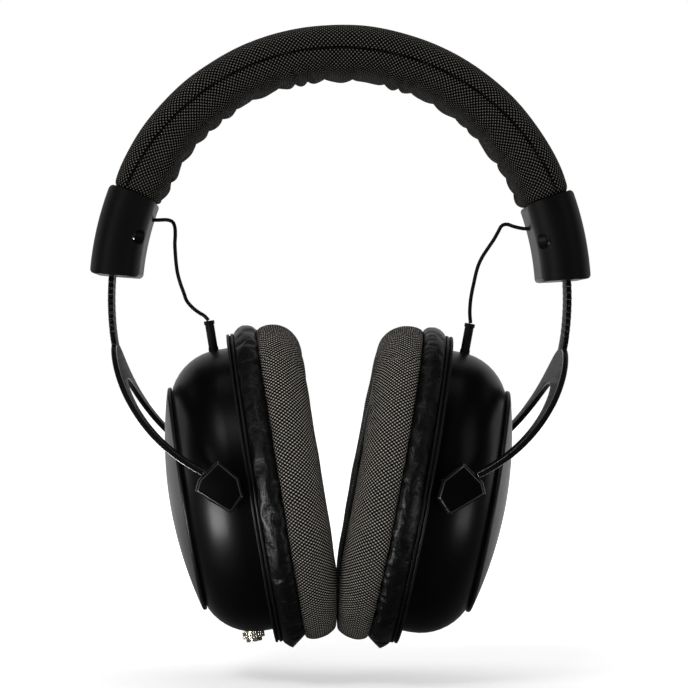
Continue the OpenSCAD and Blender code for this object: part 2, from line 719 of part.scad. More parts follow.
// Ribbed sleeve that the cable enters, with a plug through the shell
module strain_relief() {
  rib = 1.2;
  color("#111111") at_relief() difference() {
    union() {
      rod(relief_d / 2 - 0.15, 0, relief_l);
      rod(relief_d / 2, 0, rib);
      rod(relief_d / 2 + 0.1, relief_l - rib, relief_l);
      rod(relief_plug_r, -shell_wall - 1, 1);
    }
    rod(cable_d / 2 + 0.05, relief_l - 1.5, relief_l + 1);
  }
}
module jack_socket() {
  mouth = nut_h + jack_stand;
  collar_gap = 1.5;
  color("silver") at_jack() difference() {
    union() {
      rod(jack_barrel_d / 2, -jack_depth, mouth);
      rod(jack_barrel_d / 2 + 1.6, mouth - jack_depth - 2, -shell_wall - collar_gap);
    }
    rod(jack_bore_d / 2, mouth - jack_depth, mouth + 1);
    for (a = [0:45:315]) rotate(a) translate([jack_barrel_d / 2 - 0.35, -0.45, mouth - 0.8]) cube([1, 0.9, 1]);
  }
}
module jack_nut() {
  knurls = 28;
  color("gainsboro") at_jack() difference() {
    rod(nut_d / 2, 0, nut_h);
    rod(jack_barrel_d / 2 + seat_clear, -1, nut_h + 1);
    for (k = [0:knurls - 1]) rotate(360 * k / knurls) translate([nut_d / 2 + 0.1, 0, -1]) cylinder(h = nut_h + 2, r = 0.28, $fn = 16);
  }
}
module cable(route) { color("black") tube(route, cable_d / 2); }

headband_cover_top();
headband_cover_lower();
headband_foam();
headband_spring();
crossover_cable();
left() housing_outer();  // left_housing_outer
left() housing_inner(left_upper_route[0][2]);  // left_housing_inner
left() housing_screws();  // left_housing_screws
left() detent_spring();  // left_detent_spring
housing_outer();  // right_housing_outer
housing_inner(right_upper_route[0][2]);  // right_housing_inner
housing_screws();  // right_housing_screws
detent_spring();  // right_detent_spring
left() yoke();  // left_yoke
left() pivot_caps();  // left_pivot_caps
left() pivot_pins();  // left_pivot_pins
yoke();  // right_yoke
pivot_caps();  // right_pivot_caps
pivot_pins();  // right_pivot_pins
left() cup_shell("left");  // left_cup_shell
left() cover_plate();  // left_cover_plate
left() baffle();  // left_baffle
left() baffle_screws();  // left_baffle_screws
left() pivot_bushes();  // left_pivot_bushes
left() driver_frame();  // left_driver_frame
left() driver_magnet();  // left_driver_magnet
left() driver_diaphragm();  // left_driver_diaphragm
left() driver_cloth();  // left_driver_cloth
left() pad_skirt();  // left_pad_skirt
left() pad_cushion();  // left_pad_cushion
left() strain_relief();  // left_strain_relief
cup_shell("right");  // right_cup_shell
cover_plate();  // right_cover_plate
baffle();  // right_baffle
baffle_screws();  // right_baffle_screws
pivot_bushes();  // right_pivot_bushes
driver_frame();  // right_driver_frame
driver_magnet();  // right_driver_magnet
driver_diaphragm();  // right_driver_diaphragm
driver_cloth();  // right_driver_cloth
pad_skirt();  // right_pad_skirt
pad_cushion();  // right_pad_cushion
strain_relief();  // right_strain_relief
left() cable(left_upper_route);  // left_cable_upper
left() cable(left_lower_route);  // left_cable_lower
cable(right_upper_route);  // right_cable_upper
cable(right_lower_route);  // right_cable_lower
left() jack_socket();
left() jack_nut();
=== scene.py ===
import json
import math

import bmesh
import bpy
import numpy as np
from mathutils import Matrix, Vector, noise
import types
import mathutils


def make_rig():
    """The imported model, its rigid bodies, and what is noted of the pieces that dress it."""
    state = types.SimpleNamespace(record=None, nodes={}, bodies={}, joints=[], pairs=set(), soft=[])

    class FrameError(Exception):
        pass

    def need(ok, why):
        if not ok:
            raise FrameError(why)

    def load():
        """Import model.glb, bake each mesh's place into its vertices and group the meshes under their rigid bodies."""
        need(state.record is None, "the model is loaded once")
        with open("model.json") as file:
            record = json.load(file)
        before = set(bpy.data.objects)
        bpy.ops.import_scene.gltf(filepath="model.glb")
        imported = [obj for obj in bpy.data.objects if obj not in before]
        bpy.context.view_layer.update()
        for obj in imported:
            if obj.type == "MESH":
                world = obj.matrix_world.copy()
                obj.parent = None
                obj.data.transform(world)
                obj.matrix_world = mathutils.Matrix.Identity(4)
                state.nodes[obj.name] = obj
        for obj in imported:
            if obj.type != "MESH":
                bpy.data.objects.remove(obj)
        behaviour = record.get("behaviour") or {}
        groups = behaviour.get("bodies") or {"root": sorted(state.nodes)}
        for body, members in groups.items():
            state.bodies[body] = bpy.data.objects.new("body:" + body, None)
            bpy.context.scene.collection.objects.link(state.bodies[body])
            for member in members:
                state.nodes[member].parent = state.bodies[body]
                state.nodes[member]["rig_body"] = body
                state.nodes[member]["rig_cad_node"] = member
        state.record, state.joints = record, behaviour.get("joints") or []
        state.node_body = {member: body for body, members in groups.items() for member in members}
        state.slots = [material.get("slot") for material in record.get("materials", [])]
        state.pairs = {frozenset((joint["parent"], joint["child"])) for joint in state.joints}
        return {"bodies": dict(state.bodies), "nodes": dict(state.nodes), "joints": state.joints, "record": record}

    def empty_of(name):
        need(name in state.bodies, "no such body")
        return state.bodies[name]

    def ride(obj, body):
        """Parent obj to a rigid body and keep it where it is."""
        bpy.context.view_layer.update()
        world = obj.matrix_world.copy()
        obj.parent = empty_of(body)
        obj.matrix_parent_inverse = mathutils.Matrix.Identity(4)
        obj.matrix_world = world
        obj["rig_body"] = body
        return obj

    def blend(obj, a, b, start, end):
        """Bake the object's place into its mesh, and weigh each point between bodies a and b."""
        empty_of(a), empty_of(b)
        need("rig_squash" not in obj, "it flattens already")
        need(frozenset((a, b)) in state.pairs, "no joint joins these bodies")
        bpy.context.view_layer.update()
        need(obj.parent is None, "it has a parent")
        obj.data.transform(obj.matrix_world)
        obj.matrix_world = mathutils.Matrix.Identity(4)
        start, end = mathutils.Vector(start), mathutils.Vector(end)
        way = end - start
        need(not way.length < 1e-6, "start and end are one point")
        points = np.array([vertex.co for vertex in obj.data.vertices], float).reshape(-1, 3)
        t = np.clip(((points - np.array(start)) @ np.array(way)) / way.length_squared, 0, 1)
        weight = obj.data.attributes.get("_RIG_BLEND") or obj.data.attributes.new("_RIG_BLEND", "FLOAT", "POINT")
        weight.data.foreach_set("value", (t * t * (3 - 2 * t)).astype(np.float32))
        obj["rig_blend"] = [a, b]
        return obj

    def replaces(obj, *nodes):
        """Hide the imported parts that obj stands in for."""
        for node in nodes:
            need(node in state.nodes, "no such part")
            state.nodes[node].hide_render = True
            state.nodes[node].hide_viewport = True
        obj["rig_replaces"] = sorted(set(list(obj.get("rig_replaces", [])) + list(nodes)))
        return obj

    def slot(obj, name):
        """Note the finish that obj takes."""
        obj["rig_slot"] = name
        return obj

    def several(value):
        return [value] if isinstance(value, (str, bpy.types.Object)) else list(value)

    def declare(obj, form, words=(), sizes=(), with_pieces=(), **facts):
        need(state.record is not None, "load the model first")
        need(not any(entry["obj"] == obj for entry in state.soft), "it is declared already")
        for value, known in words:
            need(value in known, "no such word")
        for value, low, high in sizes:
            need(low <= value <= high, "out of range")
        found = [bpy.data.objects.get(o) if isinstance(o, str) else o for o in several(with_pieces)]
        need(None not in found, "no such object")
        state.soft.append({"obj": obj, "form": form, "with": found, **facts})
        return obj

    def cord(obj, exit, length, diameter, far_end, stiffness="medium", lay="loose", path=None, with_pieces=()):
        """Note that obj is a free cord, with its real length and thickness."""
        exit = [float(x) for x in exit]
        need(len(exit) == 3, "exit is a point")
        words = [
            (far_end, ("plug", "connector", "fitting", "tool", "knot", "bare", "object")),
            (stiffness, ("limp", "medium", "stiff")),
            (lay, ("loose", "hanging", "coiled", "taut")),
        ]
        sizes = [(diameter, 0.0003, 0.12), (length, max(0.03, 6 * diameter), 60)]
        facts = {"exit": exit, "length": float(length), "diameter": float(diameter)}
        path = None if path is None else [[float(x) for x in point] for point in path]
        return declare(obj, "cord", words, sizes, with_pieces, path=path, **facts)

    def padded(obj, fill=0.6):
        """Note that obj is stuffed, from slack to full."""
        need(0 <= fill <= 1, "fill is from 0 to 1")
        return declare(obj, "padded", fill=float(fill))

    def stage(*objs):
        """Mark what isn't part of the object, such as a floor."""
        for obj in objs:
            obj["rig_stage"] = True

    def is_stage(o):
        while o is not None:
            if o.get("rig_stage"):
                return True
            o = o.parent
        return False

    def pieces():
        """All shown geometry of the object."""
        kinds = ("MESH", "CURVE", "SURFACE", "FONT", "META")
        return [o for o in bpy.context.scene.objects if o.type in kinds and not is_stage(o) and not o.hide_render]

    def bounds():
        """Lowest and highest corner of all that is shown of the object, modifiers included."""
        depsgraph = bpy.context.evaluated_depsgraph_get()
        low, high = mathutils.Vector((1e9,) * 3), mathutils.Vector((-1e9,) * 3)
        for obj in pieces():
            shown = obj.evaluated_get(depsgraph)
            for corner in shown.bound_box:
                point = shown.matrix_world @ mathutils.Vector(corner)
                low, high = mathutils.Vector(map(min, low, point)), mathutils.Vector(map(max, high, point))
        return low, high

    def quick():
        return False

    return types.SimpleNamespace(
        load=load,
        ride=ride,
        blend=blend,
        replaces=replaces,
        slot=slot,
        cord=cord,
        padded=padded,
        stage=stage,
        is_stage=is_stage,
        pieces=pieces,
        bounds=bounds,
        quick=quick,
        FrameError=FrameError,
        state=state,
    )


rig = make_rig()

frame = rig.load()
cad_box = [list(v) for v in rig.bounds()]
scene = bpy.context.scene
MM = 0.001


# ---------- camera, stage and lights ----------

# Aim in millimetres, distance in metres, turn and roll in degrees
CAMERA_X, CAMERA_Z, CAMERA_AWAY = 1.5, 44.4, 0.88
CAMERA_TURN, CAMERA_ROLL, CAMERA_LENS = 1.2, 0.6, 142.7


def make_camera():
    """Looks at the front of the headset, a little turned and rolled, as in the photograph."""
    data = bpy.data.cameras.new("camera")
    data.sensor_width = 36.0
    data.lens = CAMERA_LENS
    data.clip_start, data.clip_end = 0.05, 20
    cam = bpy.data.objects.new("camera", data)
    scene.collection.objects.link(cam)
    turn = math.radians(CAMERA_TURN)
    aim = Vector((CAMERA_X, 0, CAMERA_Z)) * MM
    back = Vector((-math.sin(turn), -math.cos(turn), 0))
    cam.location = aim + back * CAMERA_AWAY
    look = (-back).to_track_quat("-Z", "Y")
    cam.rotation_mode = "QUATERNION"
    cam.rotation_quaternion = look @ Matrix.Rotation(math.radians(CAMERA_ROLL), 3, "Z").to_quaternion()
    scene.camera = cam


make_camera()


def rays(t, *names):
    """1 for a ray of any of the named kinds, and 0 for any other."""
    path = t.nodes.new("ShaderNodeLightPath")
    out = path.outputs[names[0]]
    for name in names[1:]:
        out = maths(t, "MAXIMUM", out, path.outputs[name])
    return out


def maths(t, op, a, b):
    n = t.nodes.new("ShaderNodeMath")
    n.operation = op
    for k, v in enumerate((a, b)):
        if isinstance(v, bpy.types.NodeSocket):
            t.links.new(v, n.inputs[k])
        else:
            n.inputs[k].default_value = v
    return n.outputs[0]


def fade(t, value, lo, hi, at_lo, at_hi):
    """A smooth step from at_lo to at_hi as value goes from lo to hi."""
    n = t.nodes.new("ShaderNodeMapRange")
    n.interpolation_type = "SMOOTHSTEP"
    for k, v in (("From Min", lo), ("From Max", hi), ("To Min", at_lo), ("To Max", at_hi)):
        n.inputs[k].default_value = v
    t.links.new(value, n.inputs["Value"])
    return n.outputs[0]


WORLD_LIGHT = 0.35
FRONT_SHINE, BACK_SHINE = 0.03, 0.85


def make_world():
    """White to the camera. In reflections it is nearly white behind the headset and dim in front."""
    world = bpy.data.worlds.new("studio")
    world.use_nodes = True
    t = world.node_tree
    t.nodes.clear()
    way = t.nodes.new("ShaderNodeSeparateXYZ")
    t.links.new(t.nodes.new("ShaderNodeTexCoord").outputs["Generated"], way.inputs[0])
    seen = fade(t, way.outputs["Y"], 0.0, 0.7, FRONT_SHINE, BACK_SHINE)
    white = maths(t, "MAXIMUM", seen, rays(t, "Is Camera Ray", "Is Transmission Ray"))
    out = t.nodes.new("ShaderNodeOutputWorld")
    mix = t.nodes.new("ShaderNodeMixShader")
    t.links.new(rays(t, "Is Camera Ray", "Is Glossy Ray", "Is Transmission Ray"), mix.inputs[0])
    for slot, strength in ((1, WORLD_LIGHT), (2, white)):
        b = t.nodes.new("ShaderNodeBackground")
        b.inputs["Color"].default_value = (1, 1, 1, 1)
        if slot == 1:
            b.inputs["Strength"].default_value = strength
        else:
            t.links.new(strength, b.inputs["Strength"])
        t.links.new(b.outputs[0], mix.inputs[slot])
    t.links.new(mix.outputs[0], out.inputs["Surface"])
    scene.world = world


# Name, place and aim in metres, width, power in watts, and height where it isn't square
LAMPS = (
    ("strip", (-0.92, -0.80, 0.05), (0, 0, 0), 0.2, 4.0, 0.6),
    ("glint", (-0.103, -0.093, -0.055), (-0.041, -0.038, -0.016), 0.06, 0.6, 0.06),
    ("glow", (0.125, -0.098, -0.050), (0.043, -0.038, -0.016), 0.06, 0.11, 0.05),
    ("key", (-0.50, -1.00, 1.0), (0, 0, 0.03), 0.4, 6.5, 0.4),
    ("fill", (0.95, -0.8, 0.55), (0, 0, 0.03), 0.5, 2.5, 0.9),
    ("top", (0.0, 0.15, 1.1), (0, 0, 0.05), 0.7, 3.5),
    ("rim_left", (-1.0, 0.35, 0.15), (0, 0, 0.0), 0.2, 1.0, 0.8),
    ("rim_right", (1.0, 0.35, 0.15), (0, 0, 0.0), 0.2, 1.0, 0.8),
)
# Small lamps close to the cups. They light reflections only, and are placed for the front view: from other
# sides they make bright spots on the skirts, the pivot caps and the nut.
HIGHLIGHTS = ("glint", "glow")


def area_light(name, at, to, size, power, height=None):
    data = bpy.data.lights.new(name, "AREA")
    data.energy = power
    data.size = size
    if height:
        data.shape = "RECTANGLE"
        data.size_y = height
    lamp = bpy.data.objects.new(name, data)
    scene.collection.objects.link(lamp)
    lamp.location = Vector(at)
    lamp.rotation_mode = "QUATERNION"
    lamp.rotation_quaternion = (Vector(to) - Vector(at)).to_track_quat("-Z", "Y")
    lamp.visible_camera = False
    lamp.visible_diffuse = name not in HIGHLIGHTS


make_world()
for lamp in LAMPS:
    area_light(*lamp)
scene.view_settings.view_transform = "Standard"


FLOOR_TONE, FLOOR_DIMMED, FLOOR_DROP = 0.8, 0.62, 0.012


def make_floor():
    """Pale floor that blends into the white backdrop and takes the headset's shadow. In reflections it is
    dimmer in front of the headset."""
    bpy.ops.mesh.primitive_plane_add(size=8, location=(0, 0, cad_box[0][2] - FLOOR_DROP))
    floor = bpy.context.object
    floor.name = "floor"
    m = bpy.data.materials.new("floor")
    m.use_nodes = True
    t = m.node_tree
    t.nodes.clear()
    out = t.nodes.new("ShaderNodeOutputMaterial")
    matt = t.nodes.new("ShaderNodeBsdfDiffuse")
    glow = t.nodes.new("ShaderNodeEmission")
    place = t.nodes.new("ShaderNodeTexCoord").outputs["Object"]
    away = t.nodes.new("ShaderNodeVectorMath")
    away.operation = "LENGTH"
    t.links.new(place, away.inputs[0])
    axes = t.nodes.new("ShaderNodeSeparateXYZ")
    t.links.new(place, axes.inputs[0])
    back = fade(t, axes.outputs["Y"], -0.05, 0.4, 0.0, 1.0)
    behind = maths(t, "MULTIPLY", back, rays(t, "Is Glossy Ray"))
    dim = maths(t, "SUBTRACT", rays(t, "Is Glossy Ray"), behind)
    tone = maths(t, "SUBTRACT", FLOOR_TONE, maths(t, "MULTIPLY", dim, FLOOR_DIMMED))
    t.links.new(tone, matt.inputs["Color"])
    lift = maths(t, "MULTIPLY", fade(t, away.outputs["Value"], 0.12, 0.45, 0.45, 1.0),
                 maths(t, "MAXIMUM", behind, rays(t, "Is Camera Ray", "Is Transmission Ray")))
    t.links.new(lift, glow.inputs["Strength"])
    both = t.nodes.new("ShaderNodeAddShader")
    t.links.new(matt.outputs[0], both.inputs[0])
    t.links.new(glow.outputs[0], both.inputs[1])
    t.links.new(both.outputs[0], out.inputs["Surface"])
    floor.data.materials.append(m)
    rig.stage(floor)


make_floor()


# ---------- node materials ----------

class Look:
    """A Principled material whose nodes are added by short calls. Lengths in its patterns are millimetres."""

    def __init__(self, name, metal=0.0, **sockets):
        self.m = bpy.data.materials.new(name)
        self.m.use_nodes = True
        self.t = self.m.node_tree
        self.b = self.t.nodes["Principled BSDF"]
        self.b.inputs["Metallic"].default_value = metal
        for k, v in sockets.items():
            self.b.inputs[k.replace("_", " ")].default_value = v
        self.bump_in = None

    def add(self, kind, inputs=(), **props):
        n = self.t.nodes.new(kind)
        for k, v in props.items():
            setattr(n, k, v)
        for k, v in dict(inputs).items():
            if isinstance(v, bpy.types.NodeSocket):
                self.t.links.new(v, n.inputs[k])
            elif v is not None:
                n.inputs[k].default_value = v
        return n

    def math(self, op, a, b=None, c=None):
        n = self.t.nodes.new("ShaderNodeMath")
        n.operation = op
        for i, v in enumerate((a, b, c)):
            if isinstance(v, bpy.types.NodeSocket):
                self.t.links.new(v, n.inputs[i])
            elif v is not None:
                n.inputs[i].default_value = v
        return n.outputs[0]

    def place(self):
        """The point's place on the piece at rest, in millimetres."""
        c = self.add("ShaderNodeTexCoord").outputs["Object"]
        return self.add("ShaderNodeMapping", {"Vector": c, "Scale": (1 / MM,) * 3}).outputs[0]

    def noise(self, size, detail=3.0, rough=0.55, vector=None, distort=0.0):
        v = vector or self.place()
        return self.add("ShaderNodeTexNoise", {"Vector": v, "Scale": 1.0 / size, "Detail": detail,
                                               "Roughness": rough, "Distortion": distort}).outputs["Fac"]

    def ramp(self, fac, stops):
        n = self.add("ShaderNodeValToRGB", {"Fac": fac})
        e = n.color_ramp.elements
        while len(e) < len(stops):
            e.new(0.5)
        for el, (at, col) in zip(e, stops):
            el.position = at
            el.color = (col, col, col, 1)
        return n.outputs[0]

    def mix(self, fac, a, b):
        n = self.add("ShaderNodeMix", data_type="RGBA")
        for i, v in ((0, fac), (6, a), (7, b)):
            if isinstance(v, bpy.types.NodeSocket):
                self.t.links.new(v, n.inputs[i])
            else:
                n.inputs[i].default_value = v if i == 0 else (*v, 1)
        return n.outputs[2]

    def color(self, socket):
        self.t.links.new(socket, self.b.inputs["Base Color"])

    def rough(self, socket, lo, hi):
        r = self.add("ShaderNodeMapRange", {"Value": socket, "To Min": lo, "To Max": hi})
        self.t.links.new(r.outputs[0], self.b.inputs["Roughness"])

    def bump(self, height, strength, distance_mm):
        n = self.add("ShaderNodeBump", {"Height": height, "Strength": strength, "Distance": distance_mm * MM})
        if self.bump_in:
            self.t.links.new(self.bump_in, n.inputs["Normal"])
        self.bump_in = n.outputs[0]
        self.t.links.new(self.bump_in, self.b.inputs["Normal"])


def weave(look, base, bright, pitch, bump=0.9, holes=(0.3, 0.52, 0.68)):
    """Mesh fabric: warm threads round staggered dark holes, from the piece's own unwrapped millimetres."""
    uv = look.add("ShaderNodeUVMap", uv_map="mm").outputs[0]
    wobble = look.add("ShaderNodeTexNoise", {"Vector": uv, "Scale": 0.12, "Detail": 2.0}).outputs["Color"]
    shift = look.add("ShaderNodeVectorMath", {0: wobble, 3: 0.9}, operation="SCALE").outputs[0]
    moved = look.add("ShaderNodeVectorMath", {0: uv, 1: shift}, operation="ADD").outputs[0]
    xyz = look.add("ShaderNodeSeparateXYZ", {0: moved})
    a = look.math("COSINE", look.math("MULTIPLY", xyz.outputs[0], 2 * math.pi / pitch))
    b = look.math("COSINE", look.math("MULTIPLY", xyz.outputs[1], 2 * math.pi / pitch))
    lattice = look.math("MULTIPLY_ADD", look.math("MULTIPLY", a, b), 0.5, 0.5)
    height = look.ramp(lattice, [(0.0, 1.0), (holes[0], 0.72), (holes[1], 0.2), (holes[2], 0.0)])
    patches = look.noise(9.0, 3.0)
    threads = look.noise(0.35, 2.0)
    tone = look.mix(look.math("MULTIPLY", threads, 0.7), bright, tuple(c * 0.6 for c in bright))
    tone = look.mix(look.math("MULTIPLY", patches, 0.25), tone, base)
    look.color(look.mix(height, (0.0008, 0.0008, 0.0008), tone))
    look.rough(threads, 0.75, 0.95)
    look.bump(height, bump, 0.35)
    return look


def grain(look, base, worn, cell=0.9, depth=0.12, rough=(0.35, 0.6)):
    """Leather: fine cells with creases between them, and broad patches that are lighter and rougher."""
    v = look.place()
    cells = look.add("ShaderNodeTexVoronoi", {"Vector": v, "Scale": 1.0 / cell, "Randomness": 0.9},
                     feature="DISTANCE_TO_EDGE").outputs["Distance"]
    soft = look.noise(0.5, 3.0)
    wide = look.noise(6.0, 3.0)
    crease = look.ramp(cells, [(0.0, 0.0), (0.12, 0.75), (0.4, 1.0)])
    look.color(look.mix(look.math("MULTIPLY", wide, 0.8), base, worn))
    look.rough(wide, *rough)
    look.bump(crease, 0.45, depth)
    look.bump(soft, 0.25, depth)
    return look


def moulded(look, base, light, rough=(0.3, 0.5), grain_mm=0.25, depth=0.015, strength=0.5):
    """Moulded plastic or paint: a fine spark texture, slight haze and handling marks."""
    fine = look.noise(grain_mm, 2.0)
    haze = look.noise(14.0, 4.0, 0.65, distort=0.4)
    scratch = look.noise(2.2, 5.0, 0.7)
    look.color(look.mix(look.math("MULTIPLY", haze, 0.7), base, light))
    look.rough(look.math("MULTIPLY_ADD", scratch, 0.5, look.math("MULTIPLY", haze, 0.5)), *rough)
    look.bump(fine, strength, depth)
    return look


def metal(look, base, light, rough=(0.18, 0.38), streak=0.4, depth=0.01):
    """Plated or drawn metal with fine streaks and a little tarnish."""
    v = look.place()
    long = look.add("ShaderNodeMapping", {"Vector": v, "Scale": (1.0, 6.0, 6.0)}).outputs[0]
    lines = look.noise(streak, 3.0, vector=long)
    tarnish = look.noise(1.6, 4.0)
    look.color(look.mix(look.math("MULTIPLY", tarnish, 0.8), light, base))
    look.rough(lines, *rough)
    look.bump(lines, 0.3, depth)
    return look


LOOKS = {
    # The pad fabric is lighter than the band fabric: partly its own colour and partly painted light, for the stronger
    # light on the pads.
    "band_fabric": weave(Look("band_fabric", Specular_IOR_Level=0.02),
                         (0.03, 0.028, 0.025), (0.26, 0.243, 0.218), pitch=1.26, holes=(0.12, 0.3, 0.46)),
    "pad_fabric": weave(Look("pad_fabric", Specular_IOR_Level=0.02),
                        (0.14, 0.13, 0.12), (0.78, 0.73, 0.655), pitch=1.16, holes=(0.14, 0.33, 0.5)),
    # The driver cloths are CAD meshes without the layer mm, so this look shows on them as plain black
    "driver_fabric": weave(Look("driver_fabric", Specular_IOR_Level=0.02),
                           (0.006, 0.006, 0.006), (0.03, 0.03, 0.03), pitch=1.2),
    "pad_leather": grain(Look("pad_leather", Specular_IOR_Level=0.11),
                         (0.0012, 0.0012, 0.0012), (0.0024, 0.0024, 0.0024), rough=(0.32, 0.38)),
    "housing_black": moulded(Look("housing_black", Specular_IOR_Level=0.07),
                             (0.002, 0.002, 0.0021), (0.0038, 0.0038, 0.004), rough=(0.38, 0.55),
                             grain_mm=0.3, depth=0.03),
    "shell_black": moulded(Look("shell_black", Specular_IOR_Level=0.07),
                           (0.001, 0.001, 0.0011), (0.0022, 0.0022, 0.0023), rough=(0.27, 0.37),
                           grain_mm=0.22, depth=0.012),
    "plate_grey": moulded(Look("plate_grey", Specular_IOR_Level=0.12),
                          (0.006, 0.006, 0.0065), (0.01, 0.01, 0.0108), rough=(0.34, 0.5),
                          grain_mm=0.25, depth=0.014),
    "trim_black": moulded(Look("trim_black", Specular_IOR_Level=0.12),
                          (0.0015, 0.0015, 0.0015), (0.003, 0.003, 0.003), rough=(0.4, 0.6)),
    # Looks for the bevel faces of the pivot caps and yokes: lighter than the faces beside them, a painted highlight
    # along the edges.
    "cap_edge": moulded(Look("cap_edge", Specular_IOR_Level=0.4),
                        (0.006, 0.006, 0.006), (0.03, 0.03, 0.03), rough=(0.2, 0.32)),
    "yoke_edge": moulded(Look("yoke_edge", Specular_IOR_Level=0.5),
                         (0.01, 0.01, 0.01), (0.022, 0.022, 0.022), rough=(0.2, 0.35)),
    "cap_black": moulded(Look("cap_black", Specular_IOR_Level=0.035),
                         (0.001, 0.001, 0.0011), (0.002, 0.002, 0.0021), rough=(0.24, 0.42)),
    "yoke_black": moulded(Look("yoke_black", Specular_IOR_Level=0.03),
                          (0.002, 0.002, 0.0021), (0.004, 0.004, 0.0042), rough=(0.4, 0.6),
                          grain_mm=0.35, depth=0.02),
    "cable_jacket": moulded(Look("cable_jacket", Specular_IOR_Level=0.12),
                            (0.002, 0.002, 0.002), (0.004, 0.004, 0.004), rough=(0.45, 0.65)),
    "foam": moulded(Look("foam", Specular_IOR_Level=0.02),
                    (0.05, 0.048, 0.044), (0.08, 0.077, 0.07), rough=(0.9, 1.0), grain_mm=0.8, depth=0.2),
    "spring_steel": metal(Look("spring_steel", metal=1.0),
                          (0.45, 0.45, 0.44), (0.62, 0.62, 0.60), rough=(0.28, 0.45)),
    "nickel": metal(Look("nickel", metal=1.0),
                    (0.42, 0.39, 0.33), (0.66, 0.62, 0.54), rough=(0.12, 0.22), depth=0.002),
    "bronze": metal(Look("bronze", metal=1.0), (0.42, 0.27, 0.13), (0.58, 0.40, 0.20), rough=(0.35, 0.5)),
    "film": moulded(Look("film"), (0.55, 0.54, 0.50), (0.62, 0.61, 0.57), rough=(0.2, 0.35)),
    "screw_black": metal(Look("screw_black", metal=1.0), (0.03, 0.03, 0.03), (0.07, 0.07, 0.07)),
    "thread": moulded(Look("thread", Specular_IOR_Level=0.02),
                      (0.002, 0.002, 0.002), (0.004, 0.004, 0.004), rough=(0.8, 0.95)),
}
SLOT_OF = {s["node"]: s["material_slot"] for s in frame["record"]["subparts"]}
BODY_OF = {n: b for b, ns in frame["record"]["behaviour"]["bodies"].items() for n in ns}
for node, obj in frame["nodes"].items():
    obj.data.materials.clear()
    obj.data.materials.append(LOOKS["screw_black" if node.endswith("_screws") else SLOT_OF[node]].m)


# ---------- mesh helpers, in millimetres ----------

def rows(points, closed_u=False, closed_v=False, uv=None, caps=False):
    """Quads over a grid of points [u][v], with an unwrap in millimetres in the layer mm."""
    p = np.asarray(points, float)
    nu, nv = p.shape[:2]
    faces, loops = [], []
    for i in range(nu if closed_u else nu - 1):
        for j in range(nv if closed_v else nv - 1):
            i2, j2 = (i + 1) % nu, (j + 1) % nv
            faces.append((i * nv + j, i2 * nv + j, i2 * nv + j2, i * nv + j2))
            loops += [(i, j), (i + 1, j), (i + 1, j + 1), (i, j + 1)]
    if caps:
        for i in (0, nu - 1):
            ring = [i * nv + j for j in range(nv)]
            faces.append(tuple(ring if i else ring[::-1]))
            loops += [(i, j) for j in (range(nv) if i else range(nv - 1, -1, -1))]
    return p.reshape(-1, 3), faces, loops, uv


def piece(name, slot, body, data):
    """A mesh object from rows(), in its material, before it rides."""
    verts, faces, loops, uv = data
    me = bpy.data.meshes.new(name)
    me.from_pydata([tuple(v * MM) for v in verts], [], faces)
    if uv is not None:
        layer = me.uv_layers.new(name="mm")
        nu, nv = uv.shape[:2]
        flat = np.array([uv[min(i, nu - 1), min(j, nv - 1)] for i, j in loops], np.float32)
        layer.data.foreach_set("uv", flat.ravel())
    me.validate()
    me.update()
    obj = bpy.data.objects.new(name, me)
    scene.collection.objects.link(obj)
    me.shade_smooth()
    me.materials.append(LOOKS[slot].m)
    obj["look"] = slot
    if body:
        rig.ride(obj, body)
    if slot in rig.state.slots:
        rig.slot(obj, slot)
    return obj


def settle(grid, pins, closed, grow, press, frames, cap, bend=0.4):
    """Cloth simulation of a grid of points: the sheet is cut a little larger than its place, held where
    pins is 1, and let go. No point moves further than cap, in millimetres."""
    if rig.quick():
        return grid
    big = 0.01
    verts, faces, _, _ = rows(grid, closed_u=closed)
    me = bpy.data.meshes.new("sheet")
    me.from_pydata([tuple(v * big) for v in verts], [], faces)
    obj = bpy.data.objects.new("sheet", me)
    scene.collection.objects.link(obj)
    held = obj.vertex_groups.new(name="held")
    for k, w in enumerate(np.asarray(pins, float).ravel()):
        if w > 0:
            held.add([k], float(w), "REPLACE")
    mod = obj.modifiers.new("cloth", "CLOTH")
    c = mod.settings
    c.quality = 5
    c.mass = 0.3
    c.tension_stiffness = c.compression_stiffness = 12
    c.shear_stiffness = 4
    c.bending_stiffness = bend
    c.tension_damping = c.compression_damping = 8
    c.shrink_min = -grow
    c.vertex_group_mass = "held"
    c.use_pressure = press != 0
    c.uniform_pressure_force = press
    c.effector_weights.gravity = 0
    mod.collision_settings.use_collision = False
    mod.point_cache.frame_start, mod.point_cache.frame_end = 1, frames
    for f in range(1, frames + 1):
        scene.frame_set(f)
    done = obj.evaluated_get(bpy.context.evaluated_depsgraph_get()).to_mesh()
    co = np.zeros(len(done.vertices) * 3, np.float32)
    done.vertices.foreach_get("co", co)
    bpy.data.objects.remove(obj)
    scene.frame_set(1)
    move = co.reshape(grid.shape) / big - grid
    far = np.linalg.norm(move, axis=-1, keepdims=True)
    return grid + move * np.where(far > 1e-9, cap * np.tanh(far / cap) / np.maximum(far, 1e-9), 0)


def resample(line, n, closed=False):
    """n points at equal steps along a line, and the length along it at each."""
    p = np.asarray(line, float)
    if closed:
        p = np.vstack([p, p[:1]])
    d = np.r_[0, np.cumsum(np.linalg.norm(np.diff(p, axis=0), axis=1))]
    t = np.linspace(0, d[-1], n + 1 if closed else n)
    out = np.stack([np.interp(t, d, p[:, k]) for k in range(p.shape[1])], 1)
    return (out[:-1], t[:-1], d[-1]) if closed else (out, t, d[-1])


